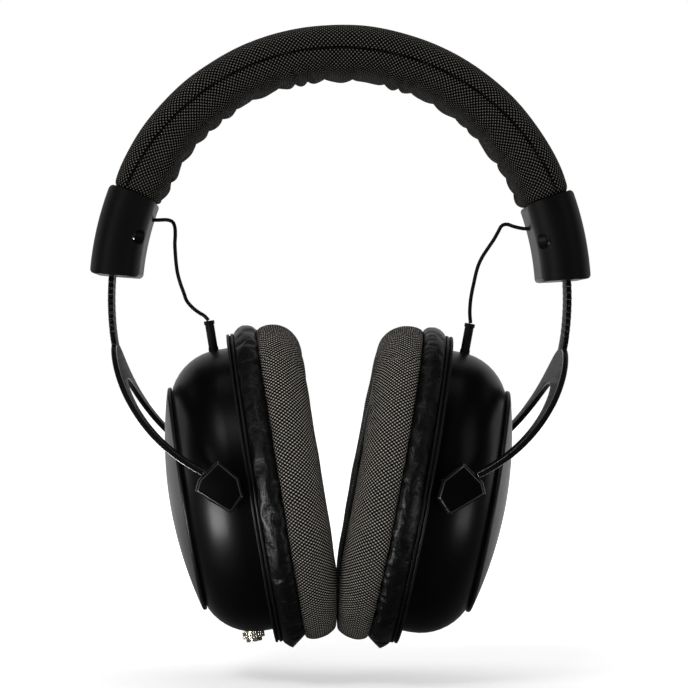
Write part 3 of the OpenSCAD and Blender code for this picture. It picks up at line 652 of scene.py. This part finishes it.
def smooth_line(points, n):
    """A smooth line through points, evenly spaced."""
    p = np.asarray(points, float)
    q = np.vstack([2 * p[0] - p[1], p, 2 * p[-1] - p[-2]])
    out = []
    for i in range(1, len(q) - 2):
        for t in np.linspace(0, 1, 12, endpoint=False):
            a, b, c, d = q[i - 1:i + 3]
            bend, twist = 2 * a - 5 * b + 4 * c - d, 3 * b - a - 3 * c + d
            out.append(0.5 * (2 * b + (c - a) * t + bend * t * t + twist * t ** 3))
    out.append(p[-1])
    return resample(out, n)[0]


def tube(line, r, sides=14):
    """Grid of a round tube along a line; r may be one radius or one for each point."""
    p = np.asarray(line, float)
    r = np.broadcast_to(np.asarray(r, float), (len(p),))
    t = np.gradient(p, axis=0)
    t /= np.linalg.norm(t, axis=1)[:, None]
    n = np.cross(t[0], (0, 1, 0))
    if np.linalg.norm(n) < 0.1:
        n = np.cross(t[0], (1, 0, 0))
    out = []
    for i in range(len(p)):
        n = n - t[i] * (n @ t[i])
        n /= np.linalg.norm(n)
        b = np.cross(t[i], n)
        a = np.linspace(0, 2 * math.pi, sides, endpoint=False)[:, None]
        out.append(p[i] + r[i] * (np.cos(a) * n + np.sin(a) * b))
    return np.array(out)


def noise1(x, seed):
    return noise.noise(Vector((x, seed * 7.31, 3.7)))


def side_of(side):
    return 1.0 if side == "right" else -1.0


def mirrored(points, side):
    return np.asarray(points, float) * np.array([side_of(side), 1, 1])


# ---------- cables: each leaves its housing and enters its cup's strain relief ----------

CABLE_D = 1.2
ROUTES = {
    "left_cable_upper": [
        (61.4, 0, 83.7), (58.7, 0, 83.7), (56.1, -0.2, 83.8), (54.2, -0.5, 83.2), (53.4, -0.8, 81.5),
        (53.2, -1.2, 79), (53.3, -1.5, 76), (53.1, -1.8, 73), (52.8, -2, 69.8), (52.3, -2.1, 66.6),
        (51.4, -2, 63.4), (50.2, -1.8, 60.2),
    ],
    "left_cable_lower": [
        (50.2, -1.8, 60.2), (49.3, -1.65, 57.8), (47.4, -1.2, 55.6), (45.3, -0.7, 54), (43.6, -0.3, 53),
        (42.3, 0, 51.6),
    ],
    "right_cable_upper": [
        (61.9, 0, 82.3), (59, 0, 82.3), (56, -0.2, 82.9), (53.8, -0.4, 83.6), (52, -0.7, 83.1),
        (50.8, -1, 81), (49.4, -1.3, 78.5), (47.6, -1.6, 75.8), (45.8, -1.8, 73), (44.5, -1.9, 70.2),
        (43.7, -2, 67.4), (43.1, -1.8, 64.4),
    ],
    "right_cable_lower": [
        (43.1, -1.8, 64.4), (42.5, -1.6, 61.4), (42.1, -1.1, 58.2), (42, -0.5, 54.8), (42.3, 0, 51.6),
    ],
}


def make_cable(side):
    """The two lengths of a cable. They are true to length and thickness at rest only: away from rest the
    blends stretch, shorten and flatten them."""
    made = []
    for part, n in (("upper", 36), ("lower", 16)):
        node = f"{side}_cable_{part}"
        line = mirrored(smooth_line(ROUTES[node], n), side)
        skin = rows(tube(line, CABLE_D / 2), closed_v=True, caps=True)
        obj = piece(node + "_cord", "cable_jacket", None, skin)
        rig.replaces(obj, node)
        made.append((obj, line))
    (upper, up), (lower, low) = made
    length = np.linalg.norm(np.diff(up, axis=0), axis=1).sum()
    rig.blend(upper, "headband", f"{side}_yoke", start=up[3] * MM, end=up[-1] * MM)
    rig.blend(lower, f"{side}_yoke", f"{side}_cup", start=low[0] * MM, end=low[-2] * MM)
    relief = frame["nodes"][f"{side}_strain_relief"]
    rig.cord(upper, exit=up[0] * MM, length=length * MM, diameter=CABLE_D * MM, far_end="object",
            stiffness="medium", lay="loose", path=up * MM, with_pieces=[lower, relief])


for side in ("left", "right"):
    make_cable(side)


# ---------- headband pad: two fabric covers over the foam, joined by a stitched seam ----------

BAND_Z, BAND_R, BAND_THICK, BAND_DEPTH = 69.1, 77.4, 16.5, 38.0
SEAM_R, SEAM_Z = 74.5, 63.6
BAND_FROM = 18.6
FACE_POWER, SIDE_POWER = 0.62, 0.52  # how square the section is: 1 is an ellipse
END_ROUND = 2.6
TURNED_IN = {0: 1.5, 1: 0.7}  # the first rows of a cover, turned in round its end
FULL, PINCHED = 1.45, 0.78
CORE_SQUEEZE, CORE_NARROW, CORE_WALL = 0.86, 0.94, 0.9


def swell(v, power):
    return math.copysign(abs(v) ** power, v)


def band_section(t, inset=0.0):
    """Radius from the band's centre and Y, at angle t round the pad's section."""
    r = BAND_R - BAND_THICK / 2 + (BAND_THICK / 2 - inset) * swell(math.cos(t), FACE_POWER)
    return r, (BAND_DEPTH / 2 - inset) * swell(math.sin(t), SIDE_POWER)


def seam_radius(a):
    drop = (BAND_Z - SEAM_Z) * math.sin(a)
    return -drop + math.sqrt(drop * drop + SEAM_R ** 2 - (BAND_Z - SEAM_Z) ** 2)


def seam_turn(a):
    share = (seam_radius(a) - BAND_R + BAND_THICK / 2) / (BAND_THICK / 2)
    return math.acos(max(-1, min(1, swell(share, 1 / FACE_POWER))))


def gather(a_mm):
    """Uneven gathers along the inner edge: ridges of full fabric between narrow pinches."""
    x = a_mm / 7.4 + 0.9 * noise1(a_mm / 15, 1)
    return abs(math.sin(math.pi * x)) ** 0.7 * (0.75 + 0.9 * noise1(a_mm / 9, 2))


def steps_across(total, n):
    """Places across a cover: close together beside its two seams."""
    near = [0, 0.12, 0.3, 0.55, 0.85, 1.25, 1.75]
    return np.array(near + list(np.linspace(2.4, total - 2.4, n)) + [total - v for v in reversed(near)])


def band_cover(name, node, lower):
    lo, hi = math.radians(BAND_FROM), math.radians(180 - BAND_FROM)
    mid = BAND_R - BAND_THICK / 2
    ends = np.array([0, 0.12, 0.4, 0.8, 1.3, 1.9]) / mid
    middle = np.linspace(lo + END_ROUND / mid, hi - END_ROUND / mid, 470)
    turns = np.r_[lo, lo, lo + ends, middle, (hi - ends)[::-1], hi, hi]
    across = 64
    grid = np.zeros((len(turns), across + 14, 3))
    uv = np.zeros(grid.shape[:2] + (2,))
    for i, a in enumerate(turns):
        s = seam_turn(a)
        span = np.linspace(s, 2 * math.pi - s, 240) if lower else np.linspace(-s, s, 240)
        line, along, total = resample([band_section(t) for t in span], 400)
        arc_mm = a * mid
        off = min(a - lo, hi - a) * mid
        pinch = 0.10 * noise1(arc_mm / 1.9, 6) + 0.12 * noise1(arc_mm / 4.3, 7)
        for j, v in enumerate(steps_across(total, across)):
            r, y = (np.interp(v, along, line[:, k]) for k in (0, 1))
            nr, ny = (r - mid) / (BAND_THICK / 2), y / (BAND_DEPTH / 2)
            edge = min(v, total - v)
            d = -0.42 * math.exp(-(edge / 0.45) ** 2) - 0.25 * math.exp(-(edge / 1.6) ** 2)
            d += math.exp(-(edge / 3.4) ** 2) * pinch
            d += 0.16 * noise.noise(Vector((arc_mm / 12, y / 9, 5 if lower else 9)))
            if lower:
                under = min(1.0, max(0.0, (-nr - 0.5) / 0.38))
                under = under * under * (3 - 2 * under)
                g = gather(arc_mm + 1.8 * noise1(y / 8, 3))
                d += under * (FULL * g - PINCHED)
            if off < END_ROUND:
                d -= END_ROUND - math.sqrt(END_ROUND ** 2 - (END_ROUND - off) ** 2)
            d -= 0.45 * math.exp(-(off / 5) ** 2) + TURNED_IN.get(min(i, len(turns) - 1 - i), 0)
            k = math.hypot(nr, ny) or 1
            r2, y2 = r + d * nr / k, y + d * ny / k
            grid[i, j] = (r2 * math.cos(a), y2, BAND_Z + r2 * math.sin(a))
            uv[i, j] = (arc_mm, v)
    obj = piece(name, "band_fabric", "headband", rows(grid, uv=uv))
    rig.replaces(obj, node)
    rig.padded(obj, fill=0.75)


def band_core():
    """Foam under the covers: it keeps its channels for the strip, the cable and the two stems, and its
    outside is drawn in to make room for the gathers."""
    me = frame["nodes"]["headband_foam"].data.copy()
    mid, cover, end = BAND_R - BAND_THICK / 2, 1.0, math.radians(BAND_FROM + 0.4)
    for v in me.vertices:
        x, y, z = np.array(v.co) / MM
        r, a = math.hypot(x, z - BAND_Z), math.atan2(z - BAND_Z, x)
        across = abs((r - mid) / (BAND_THICK / 2 - cover)) ** (2 / FACE_POWER)
        along = abs(y / (BAND_DEPTH / 2 - cover)) ** (2 / SIDE_POWER)
        if across + along > CORE_WALL:
            r, y = mid + (r - mid) * CORE_SQUEEZE, y * CORE_NARROW
        a = min(max(a, end), math.pi - end)
        v.co = Vector((r * math.cos(a), y, BAND_Z + r * math.sin(a))) * MM
    obj = bpy.data.objects.new("band_core", me)
    scene.collection.objects.link(obj)
    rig.ride(obj, "headband")
    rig.slot(obj, "foam")
    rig.replaces(obj, "headband_foam")
    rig.padded(obj, fill=0.9)


def band_stitches():
    """Thread of the seam on the front and back faces: short stitches that dip between holes."""
    verts, faces = [], []
    lo, hi = math.radians(19.5), math.radians(160.5)
    count = 150
    for sign in (-1, 1):
        for k in range(count):
            pair = []
            for end in (0.04, 0.98):
                a = lo + (hi - lo) * (k + end) / count
                r, y = band_section(seam_turn(a), 0.38)
                pair.append((r * math.cos(a), sign * abs(y), BAND_Z + r * math.sin(a)))
            p, q = np.array(pair)
            mid = (p + q) / 2 + (0, sign * 0.14, 0)
            ring = tube(smooth_line([p, mid, q], 5), [0.12, 0.22, 0.24, 0.22, 0.12], 6)
            v, f, _, _ = rows(ring, closed_v=True, caps=True)
            faces += [tuple(i + len(verts) for i in face) for face in f]
            verts += list(v)
    obj = piece("band_stitches", "thread", None, (np.array(verts), faces, [], None))
    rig.ride(obj, "headband")


band_cover("band_top_fabric", "headband_cover_top", False)
band_cover("band_lower_fabric", "headband_cover_lower", True)
band_core()
band_stitches()


# ---------- ear cups, in the cup's own frame: x to the back, w up along the cup, u outwards ----------

PIVOT_X, LEAN, CUP_DROP = 36.9, math.radians(9.8), 3.9
HALF_L, HALF_W, END_R = 50.2, 42.0, 36.0
OVAL_C, OVAL_W = HALF_L - END_R, HALF_W - END_R
OVAL_D = (OVAL_C ** 2 - OVAL_W ** 2) / (2 * OVAL_W)
OVAL_HYP = math.hypot(OVAL_C, OVAL_D)
OVAL_SIDE = math.atan2(OVAL_C, OVAL_D)


def oval_line(n, r):
    """n points round the oval whose end arcs have radius r: x, w, outward normal, and length along."""
    arcs = []
    for cx, cw, rr, a0, a1 in (
            (0, OVAL_C, r, math.pi - OVAL_SIDE, OVAL_SIDE),
            (-OVAL_D, 0, r + OVAL_HYP, OVAL_SIDE, -OVAL_SIDE),
            (0, -OVAL_C, r, -OVAL_SIDE, -math.pi + OVAL_SIDE),
            (OVAL_D, 0, r + OVAL_HYP, math.pi + OVAL_SIDE, math.pi - OVAL_SIDE)):
        for a in np.linspace(a0, a1, 200, endpoint=False):
            arcs.append((cx + rr * math.cos(a), cw + rr * math.sin(a), math.cos(a), math.sin(a)))
    pts, along, total = resample(arcs, n, closed=True)
    pts[:, 2:] /= np.linalg.norm(pts[:, 2:], axis=1)[:, None]
    return pts, along, total


def to_row(x, w, u, side):
    """A point of a cup's frame as a point of the headset, in millimetres."""
    w = w - CUP_DROP
    return ((PIVOT_X + u * math.cos(LEAN) + w * math.sin(LEAN)) * side_of(side), x,
            -u * math.sin(LEAN) + w * math.cos(LEAN))


def ring_grid(side, profile, n=360, r=END_R, warp=None):
    """Carries a profile of (offset, u) round the oval; warp may move a point by its place in the grid."""
    line, along, total = oval_line(n, r)
    prof = np.asarray(profile, float)
    v = np.r_[0, np.cumsum(np.linalg.norm(np.diff(prof, axis=0), axis=1))]
    grid, uv = np.zeros((n, len(prof), 3)), np.zeros((n + 1, len(prof), 2))
    for i in range(n):
        x, w, nx, nw = line[i]
        for j, (d, u) in enumerate(prof):
            if warp:
                d, u = warp(along[i], j, v[j], d, u)
            grid[i, j] = to_row(x + d * nx, w + d * nw, u, side)
    for i in range(n + 1):
        uv[i, :, 0] = total * i / n
        uv[i, :, 1] = v
    return grid, uv


FLANGE_U, FLANGE_T, SKIRT_H, CUSHION_H = 8.4, 2.2, 7.6, 10.8
PAD_BACK = -FLANGE_U - FLANGE_T
SEAM_U, PAD_FACE = PAD_BACK - SKIRT_H, PAD_BACK - SKIRT_H - CUSHION_H

CORNER_OUT, CORNER_SLOPE, CORNER_U = 2.4, 0.72, 2.9


def curve(points, n):
    return smooth_line([(*p, 0) for p in points], n)[:, :2]


def pad_skirt(side, seed):
    """Leather wall of the ear pad: full at the flange, drawn into small creases at the seam, and pulled
    to a corner at the bottom of the cup."""
    profile = curve([(-1.2, PAD_BACK + 0.05), (0.1, PAD_BACK - 0.35), (1.35, PAD_BACK - 2.2),
                     (1.95, PAD_BACK - 4.0), (1.7, PAD_BACK - 5.8), (0.9, SEAM_U + 0.75),
                     (-0.1, SEAM_U + 0.15), (-1.0, SEAM_U + 0.1)], 30)

    bottom = oval_line(8, END_R)[2] / 2 + END_R * (math.pi / 2 - OVAL_SIDE)

    def warp(s, j, v, d, u):
        low = math.exp(-((s - bottom) / 11) ** 4) * min(1.0, (PAD_BACK + 0.05 - u) / 0.4)
        d += low * (CORNER_OUT - CORNER_SLOPE * abs(u - PAD_BACK + CORNER_U) - d)
        drawn = min(1.0, max(0.25, 0.6 + 1.6 * noise.noise(Vector((s / 26, 1, seed)))))
        near = math.exp(-((u - SEAM_U) / 2.5) ** 2) * drawn
        wide = math.exp(-((u - SEAM_U) / 5.5) ** 2)
        at = s + 1.3 * noise.noise(Vector((s / 8, u / 3, seed + 6)))
        crease = 0.30 - abs(noise.noise(Vector((at / 2.5, u / 7, seed))))
        deep = max(0.0, noise.noise(Vector((at / 6.8, u / 9, seed + 8))) - 0.05)
        fold = noise.noise(Vector((at / 7.5 + u / 8, u / 5, seed + 4)))
        far = math.exp(-((u - PAD_BACK) / 2.0) ** 2)
        d += near * (-1.75 * max(0.0, crease)) - wide * 1.5 * deep + (1 - far) * 0.1 * fold
        u += near * (0.7 * noise.noise(Vector((s / 3.6, 2, seed))) + 0.4 * deep)
        return d, u

    grid, uv = ring_grid(side, profile, 520, warp=warp)
    pins = np.zeros(grid.shape[:2])
    pins[:, :3], pins[:, -4:] = 1, 1
    grid = settle(grid, pins, True, 0.01, 0.9, 16, 0.5)
    obj = piece(f"{side}_skirt_leather", "pad_leather", f"{side}_cup", rows(grid, closed_u=True, uv=uv))
    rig.replaces(obj, f"{side}_pad_skirt")
    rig.padded(obj, fill=0.6)


CROWN = 2.4
TOUCH, TOUCH_ROUND = 0.12, 0.2
INNER_WALL_ROW = 41


def pad_cushion(side, seed):
    """Fabric ring of the ear pad: crowned, drawn in at the seam, pressed flat where the two pads meet,
    with its inner wall in the near-black leather look."""
    profile = curve([(-1.0, SEAM_U + 0.1), (0.0, SEAM_U - 0.25), (0.75, SEAM_U - 1.4), (1.0, SEAM_U - 3.2),
                     (0.35, SEAM_U - 5.9), (-1.6, SEAM_U - 8.4), (-4.6, SEAM_U - 10.1), (-8.2, PAD_FACE),
                     (-12.2, PAD_FACE + 0.1), (-15.6, PAD_FACE + 0.9), (-18.3, PAD_FACE + 2.9),
                     (-19.9, PAD_FACE + 5.9),
                     (-20.4, PAD_FACE + 9.0), (-20.3, PAD_FACE + 12.5), (-20.2, PAD_BACK)], 76)

    def warp(s, j, v, d, u):
        pucker = math.exp(-(v / 2.4) ** 2)
        wave = noise.noise(Vector((s / 3.4, v / 6, seed + 1)))
        wide = noise.noise(Vector((s / 13, v / 10, seed + 2)))
        inner = max(0.0, min(1.0, (v - 26) / 6))
        loose = noise.noise(Vector((s / 5, v / 12, seed + 3)))
        pull = 0.45 * pucker * wave + 0.28 * wide + inner * 0.5 * loose
        k = math.hypot(d + 10, u - (SEAM_U - 2)) or 1
        d, u = d + pull * (d + 10) / k, u + pull * (u - SEAM_U + 2) / k
        return d, u + CROWN * min(0.0, u - SEAM_U) / CUSHION_H

    grid, uv = ring_grid(side, profile, 480, warp=warp)
    over = grid[..., 0] * side_of(side) - TOUCH
    grid[..., 0] = (TOUCH + (over + np.sqrt(over ** 2 + TOUCH_ROUND)) / 2) * side_of(side)
    for name, slot, lo, hi in (("cushion_fabric", "pad_fabric", 0, INNER_WALL_ROW + 1),
                               ("cushion_lining", "pad_leather", INNER_WALL_ROW, None)):
        skin = rows(grid[:, lo:hi], closed_u=True, uv=uv[:, lo:hi])
        obj = piece(f"{side}_{name}", slot, f"{side}_cup", skin)
        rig.replaces(obj, f"{side}_pad_cushion")
        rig.padded(obj, fill=0.7)


for n, side in enumerate(("left", "right")):
    pad_skirt(side, 11 + 20 * n)
    pad_cushion(side, 17 + 20 * n)


# ---------- cover plates, with rounded edges ----------------------

SHELL_END, SHELL_INSET, SHELL_ROUND, SHOULDER_RISE = 11.2, 4.35, 17.8, 15.8
PLATE_R = END_R - SHELL_INSET - SHELL_ROUND * (1 - math.cos(math.asin(SHOULDER_RISE / SHELL_ROUND)))
PLATE_GROOVE, GROOVE_DEPTH, PLATE_RIM, PLATE_RISE = 0.6, 1.2, 1.2, 5.1


def cover_plate(side):
    """Domed plate of the cup: a groove, a turned rim with a fine bevel, and a smooth dome."""
    rim = SHELL_END + PLATE_GROOVE
    edge = [(-GROOVE_DEPTH, SHELL_END + 0.02), (-GROOVE_DEPTH, rim - 0.05), (-0.25, rim), (-0.02, rim + 0.2),
            (0, rim + PLATE_RIM - 0.45), (-0.1, rim + PLATE_RIM - 0.2), (-0.42, rim + PLATE_RIM)]
    n = 300
    grid, _ = ring_grid(side, edge, n, r=PLATE_R)
    line, _, _ = oval_line(n, PLATE_R - 0.42)
    dome = []
    for t in np.cos(np.linspace(0, math.pi / 2, 30))[1:]:
        u = rim + PLATE_RIM + PLATE_RISE * (1 - t * t)
        dome.append([to_row(x * t, w * t, u, side) for x, w, _, _ in line])
    points = np.concatenate([grid, np.array(dome).transpose(1, 0, 2)], axis=1)
    obj = piece(f"{side}_plate", "plate_grey", f"{side}_cup", rows(points, closed_u=True))
    mod = obj.modifiers.new("weld", "WELD")
    mod.merge_threshold = 1e-5
    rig.replaces(obj, f"{side}_cover_plate")


for side in ("left", "right"):
    cover_plate(side)


# ---------- rigid pieces: the CAD solid with its edges broken and its curves shaded smooth ----------

SHELL_DC, SHELL_UC = -SHELL_INSET - SHELL_ROUND, SHELL_END - SHOULDER_RISE
SLIDE_X, SLIDE_Z, HOUSING_MID, HOUSING_R, HOUSING_Y = -21.0, 59.0, 93.15, 7.95, 11.05


def shell_normal(p, side):
    """Outward normal of the cup's smooth wall at a point of the headset, or None away from that wall."""
    x3, x, z3 = p[0] * side_of(side) - PIVOT_X, p[1], p[2]
    u, w = x3 * math.cos(LEAN) - z3 * math.sin(LEAN), x3 * math.sin(LEAN) + z3 * math.cos(LEAN) + CUP_DROP
    a = math.atan2(abs(w) - OVAL_C, x)
    if OVAL_SIDE <= a <= math.pi - OVAL_SIDE:
        vx, vw, r = x, w - math.copysign(OVAL_C, w), END_R
    else:
        vx, vw, r = x + math.copysign(OVAL_D, x), w, END_R + OVAL_HYP
    k = math.hypot(vx, vw)
    d = k - r
    if u <= SHELL_UC:
        off, nd, nu = d + SHELL_INSET, 1.0, 0.0
    else:
        nd, nu = d - SHELL_DC, u - SHELL_UC
        h = math.hypot(nd, nu)
        off, nd, nu = h - SHELL_ROUND, nd / h, nu / h
    if abs(off) > 0.3 or u > SHELL_END + 0.1 or u < -FLANGE_U - 0.1:
        return None
    nx, nw = nd * vx / k, nd * vw / k
    out, up = nu * math.cos(LEAN) + nw * math.sin(LEAN), nw * math.cos(LEAN) - nu * math.sin(LEAN)
    return (out * side_of(side), nx, up)


def housing_normal(p, side):
    """Outward normal of the housing's rounded section, or None away from it."""
    x, z = p[0] * side_of(side) - SLIDE_X, p[2] - SLIDE_Z
    r = math.hypot(x, z)
    q, y = r - HOUSING_MID, p[1]
    over = max(0.0, abs(y) - HOUSING_Y)
    h = math.hypot(q, over)
    if abs(h - HOUSING_R) > 0.12:
        return None
    nr, ny = q / h, math.copysign(over / h, y)
    return (nr * x / r * side_of(side), ny, nr * z / r)


def edged(node, width=0.0, segments=2, angle=32, normal=None, worn=None):
    """The same solid with its sharp edges broken, which stands for the node."""
    side = node.split("_")[0]
    me = frame["nodes"][node].data.copy()
    obj = bpy.data.objects.new(node + "_edged", me)
    scene.collection.objects.link(obj)
    bm = bmesh.new()
    bm.from_mesh(me)
    bmesh.ops.remove_doubles(bm, verts=bm.verts, dist=2e-6)
    if not normal:
        bmesh.ops.dissolve_limit(bm, angle_limit=math.radians(0.6), verts=bm.verts, edges=bm.edges)
    for f in bm.faces:
        f.smooth = True
    bm.to_mesh(me)
    bm.free()
    if width:
        mod = obj.modifiers.new("bevel", "BEVEL")
        mod.width = width * MM
        mod.segments = segments
        mod.limit_method = "ANGLE"
        mod.angle_limit = math.radians(angle)
        mod.harden_normals = True
        mod.use_clamp_overlap = False
        mod.miter_outer = "MITER_ARC"
        # The bevel faces take the lighter edge look: a painted highlight along the edges.
        if worn:
            me.materials.append(LOOKS[worn].m)
            mod.material = 1
    if normal:
        me.set_sharp_from_angle(angle=math.radians(angle))
        flat = np.zeros(len(me.loops) * 3, np.float32)
        me.corner_normals.foreach_get("vector", flat)
        flat = flat.reshape(-1, 3)
        for poly in me.polygons:
            for k in poly.loop_indices:
                n = normal(np.array(me.vertices[me.loops[k].vertex_index].co) / MM, side)
                if n is not None and np.dot(n, poly.normal) > 0.9:
                    flat[k] = n
        me.normals_split_custom_set([tuple(v) for v in flat])
    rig.ride(obj, BODY_OF[node])
    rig.slot(obj, SLOT_OF[node])
    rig.replaces(obj, node)


for side in ("left", "right"):
    edged(f"{side}_yoke", 0.22, worn="yoke_edge")
    edged(f"{side}_pivot_caps", 0.24, 2, worn="cap_edge")
    edged(f"{side}_cup_shell", angle=24, normal=shell_normal)
    edged(f"{side}_housing_outer", angle=24, normal=housing_normal)
    edged(f"{side}_housing_inner", angle=24, normal=housing_normal)
    edged(f"{side}_baffle", 0.25)


with open("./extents.json", "w") as f:
    json.dump({"cad": cad_box, "visual": [list(v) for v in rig.bounds()]}, f)
